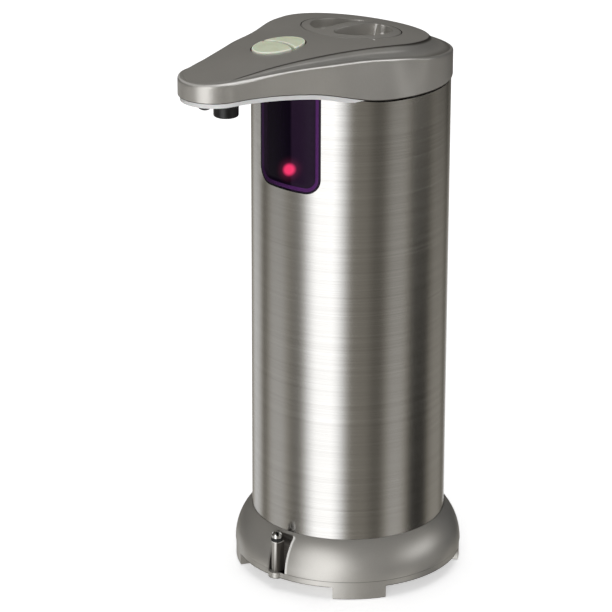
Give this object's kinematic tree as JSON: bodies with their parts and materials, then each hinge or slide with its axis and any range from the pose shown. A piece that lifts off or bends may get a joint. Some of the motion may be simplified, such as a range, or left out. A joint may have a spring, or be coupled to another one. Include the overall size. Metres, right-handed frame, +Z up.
{
  "type": "automatic soap dispenser",
  "caption": "Free-standing touch-free soap dispenser: brushed steel sleeve on a flared base, moulded head with forward spout, twist filler cap, keys and lit window.",
  "frame": {"origin": "centre of the whole outline in plan, on the surface that the four feet stand on", "axes": "+Z up; the spout points along -Y; +X to the right of someone facing the spout's tip from behind the body, across the dispenser"},
  "size_m": [0.0776, 0.1174, 0.1916],
  "materials": {
    "satin_nickel_paint": "satin warm grey nickel paint",
    "brushed_steel": "stainless steel brushed round the body",
    "violet_window": "dark violet see-through plastic, glossy",
    "white_plastic": "white moulded plastic, half gloss",
    "black_plastic": "black moulded plastic",
    "green_silicone": "pale green see-through silicone, satin",
    "bright_screw": "bright nickel plate",
    "black_rubber": "matt black rubber",
    "clear_plastic": "milky clear tank plastic",
    "grey_plastic": "dark grey moulded plastic",
    "cell_jacket": "plain printed jacket, gloss",
    "spring_metal": "nickel-plated spring strip",
    "motor_can": "zinc-plated can",
    "shaft_steel": "ground steel",
    "gear_plastic": "natural acetal",
    "soft_tube": "milky silicone tube",
    "board_green": "green circuit board",
    "red_lamp": "red lamp, lit"
  },
  "bodies": {
    "foot_plate": {"base_plate": "satin_nickel_paint", "base_gasket": "black_rubber", "cover_contacts": "spring_metal"},
    "dispenser": {"base_ring": "satin_nickel_paint", "steel_sleeve": "brushed_steel", "window_panel": "violet_window", "head_shell": "satin_nickel_paint", "under_cover": "white_plastic", "head_screws": "bright_screw", "nozzle": "black_plastic", "sensor_lens": "black_plastic", "sensor_board": "board_green", "key_board": "board_green", "soap_tank": "clear_plastic", "tank_gasket": "black_rubber", "tank_lid": "clear_plastic", "chassis": "grey_plastic", "batteries": "cell_jacket", "bay_contacts": "spring_metal", "motor": "motor_can", "pump_body": "grey_plastic", "pump_cover": "grey_plastic", "pump_screws": "bright_screw", "outlet_tube": "soft_tube", "control_board": "board_green", "indicator_lamp": "red_lamp"},
    "screw_washer": {"screw_grommet": "black_rubber"},
    "screw": {"base_screw": "bright_screw"},
    "cap_carrier": {"cap_seal": "black_rubber"},
    "cap": {"filler_cap": "satin_nickel_paint"},
    "key_plus": {"key_plus": "green_silicone", "plunger_plus": "black_plastic"},
    "key_minus": {"key_minus": "green_silicone", "plunger_minus": "black_plastic"},
    "motor_rotor": {"motor_shaft": "shaft_steel", "motor_pinion": "gear_plastic"},
    "pump_drive": {"drive_shaft": "shaft_steel", "reduction_gear": "gear_plastic", "pump_gear_drive": "gear_plastic"},
    "pump_idler": {"pump_gear_idler": "gear_plastic"}
  },
  "joints": [
    {"name": "base_release", "type": "slide", "parent": "foot_plate", "child": "dispenser", "axis": [0, 0, 1], "range_m": [0, 0.03]},
    {"name": "screw_rise", "type": "slide", "parent": "dispenser", "child": "screw_washer", "axis": [0, 0, 1], "range_m": [0, 0.0036]},
    {"name": "screw_turn", "type": "hinge", "parent": "screw_washer", "child": "screw", "pos_m": [0, -0.0174, 0.018], "axis": [0, 0, 1], "range_deg": [0, 3240]},
    {"name": "cap_lift", "type": "slide", "parent": "dispenser", "child": "cap_carrier", "axis": [0, 0.1161, 0.9932], "range_m": [0, 0.04]},
    {"name": "cap_twist", "type": "hinge", "parent": "cap_carrier", "child": "cap", "pos_m": [0, 0.0199, 0.18902], "axis": [0, 0.1161, 0.9932], "range_deg": [0, 90]},
    {"name": "key_plus_press", "type": "slide", "parent": "dispenser", "child": "key_plus", "axis": [0, 0, -1], "range_m": [0, 0.0005], "stiffness_N_per_m": 800, "springref_m": -0.0004},
    {"name": "key_minus_press", "type": "slide", "parent": "dispenser", "child": "key_minus", "axis": [0, 0, -1], "range_m": [0, 0.0005], "stiffness_N_per_m": 800, "springref_m": -0.0004},
    {"name": "pump_spin", "type": "hinge", "parent": "dispenser", "child": "pump_drive", "pos_m": [0, 0.0314, 0.062], "axis": [0, 0, 1], "continuous": true},
    {"name": "motor_spin", "type": "hinge", "parent": "dispenser", "child": "motor_rotor", "pos_m": [0, 0.0199, 0.062], "axis": [0, 0, 1], "continuous": true},
    {"name": "idler_spin", "type": "hinge", "parent": "dispenser", "child": "pump_idler", "pos_m": [0, 0.0194, 0.068], "axis": [0, 0, 1], "continuous": true}
  ],
  "couplings": [
    {"joint": "screw_turn", "follows": "screw_rise", "rad_per_m": 15708},
    {"joint": "motor_spin", "follows": "pump_spin", "ratio": -3.6},
    {"joint": "idler_spin", "follows": "pump_spin", "ratio": -1}
  ]
}
